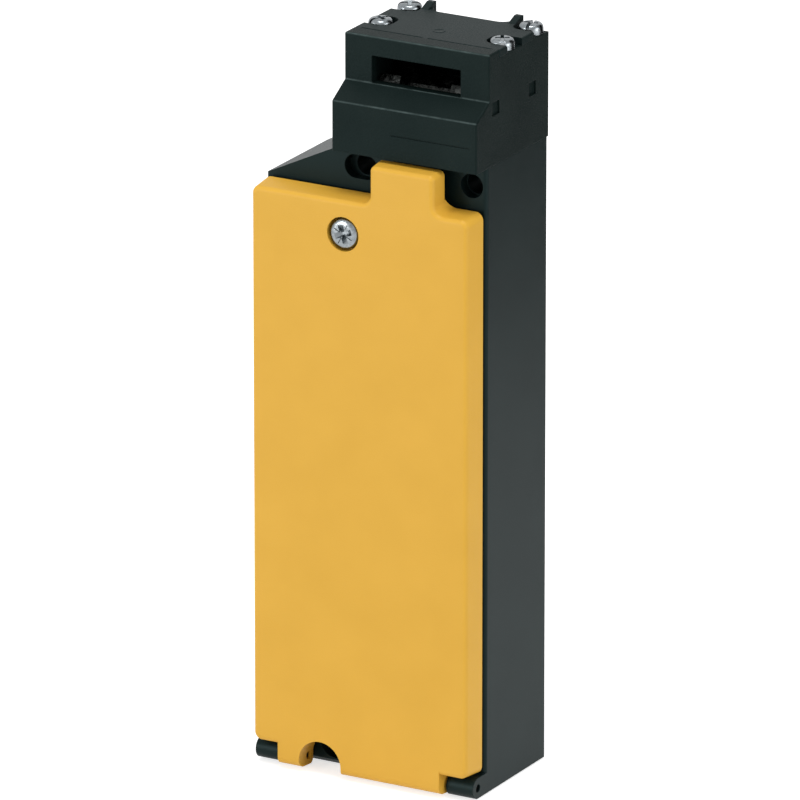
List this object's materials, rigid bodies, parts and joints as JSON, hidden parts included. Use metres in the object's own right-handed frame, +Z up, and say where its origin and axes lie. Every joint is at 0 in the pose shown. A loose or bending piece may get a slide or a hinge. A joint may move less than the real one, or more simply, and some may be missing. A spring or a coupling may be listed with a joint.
{
  "type": "tongue interlock switch",
  "caption": "Narrow guard-locking safety switch: black housing with a hinged yellow cover, and a stepped head with a front slot for a door tongue.",
  "frame": {"origin": "middle of the switch's bottom face", "axes": "+X to the right seen from the cover, +Y from the cover to the mounting face, +Z up from the cable entry to the head"},
  "size_m": [0.06, 0.0384, 0.1862],
  "materials": {
    "base_plastic": "glass-filled moulded plastic, black, satin",
    "cover_plastic": "moulded plastic, warm yellow, satin",
    "lid_plastic": "moulded plastic, black, fine-grained",
    "gasket_rubber": "nitrile rubber, matt black",
    "zinc_steel": "zinc-plated steel, bright",
    "pin_steel": "stainless steel, ground",
    "cam_steel": "sintered steel, greased",
    "frame_steel": "zinc-plated strip",
    "spool_plastic": "natural glass-filled nylon",
    "winding_tape": "coil wrapped in amber polyester tape",
    "block_plastic": "dark thermoset moulding",
    "carrier_plastic": "red moulded slider",
    "terminal_plastic": "green moulded terminal block",
    "contact_brass": "brass strip",
    "spring_steel": "spring wire"
  },
  "bodies": {
    "root": {"housing_base": "base_plastic", "hinge_pins": "pin_steel", "head_housing": "base_plastic", "head_lid": "lid_plastic", "lid_screws": "zinc_steel", "head_fixing_screws": "zinc_steel", "face_seal": "gasket_rubber", "cam_axle": "pin_steel", "rod_bush": "contact_brass", "rod_seal": "gasket_rubber", "solenoid_frame": "frame_steel", "solenoid_screws": "zinc_steel", "coil_bobbin": "spool_plastic", "coil_winding": "winding_tape", "fixed_core": "frame_steel", "armature_spring": "spring_steel", "lever_pin": "pin_steel", "contact_block": "block_plastic", "fixed_contacts": "contact_brass", "terminal_screws": "zinc_steel", "carrier_spring": "spring_steel", "contact_block_screws": "zinc_steel", "coil_terminal_block": "terminal_plastic", "coil_terminals": "contact_brass", "coil_terminal_screws": "zinc_steel"},
    "cover": {"front_cover": "cover_plastic", "cover_gasket": "gasket_rubber", "cover_screw": "zinc_steel", "screw_keeper": "zinc_steel"},
    "cam": {"cam_wheel": "cam_steel"},
    "plunger": {"driving_rod": "pin_steel", "contact_carrier": "carrier_plastic", "contact_bridges": "contact_brass"},
    "armature": {"armature": "frame_steel", "spring_clip": "spring_steel", "link_pin": "pin_steel"},
    "lever": {"locking_lever": "frame_steel"}
  },
  "joints": [
    {"name": "cover_hinge", "type": "hinge", "parent": "root", "child": "cover", "pos_m": [0, -0.0145, 0.0026], "axis": [1, 0, 0], "range_deg": [0, 105]},
    {"name": "cam_turn", "type": "hinge", "parent": "root", "child": "cam", "pos_m": [0.0105, 0.0024, 0.1695], "axis": [-1, 0, 0], "range_deg": [0, 60]},
    {"name": "plunger_slide", "type": "slide", "parent": "root", "child": "plunger", "axis": [0, 0, 1], "range_m": [0, 0.0035], "deforming": ["carrier_spring"]},
    {"name": "armature_slide", "type": "slide", "parent": "root", "child": "armature", "axis": [0, 0, -1], "range_m": [0, 0.004], "stiffness_N_per_m": 400, "springref_m": -0.004, "deforming": ["armature_spring"]},
    {"name": "lever_turn", "type": "hinge", "parent": "root", "child": "lever", "pos_m": [0.001, 0.0024, 0.124], "axis": [0, -1, 0], "range_deg": [0, 14.33]}
  ],
  "couplings": [
    {"joint": "cam_turn", "follows": "plunger_slide", "rad_per_m": 299.19},
    {"joint": "lever_turn", "follows": "armature_slide", "rad_per_m": 62.5}
  ]
}
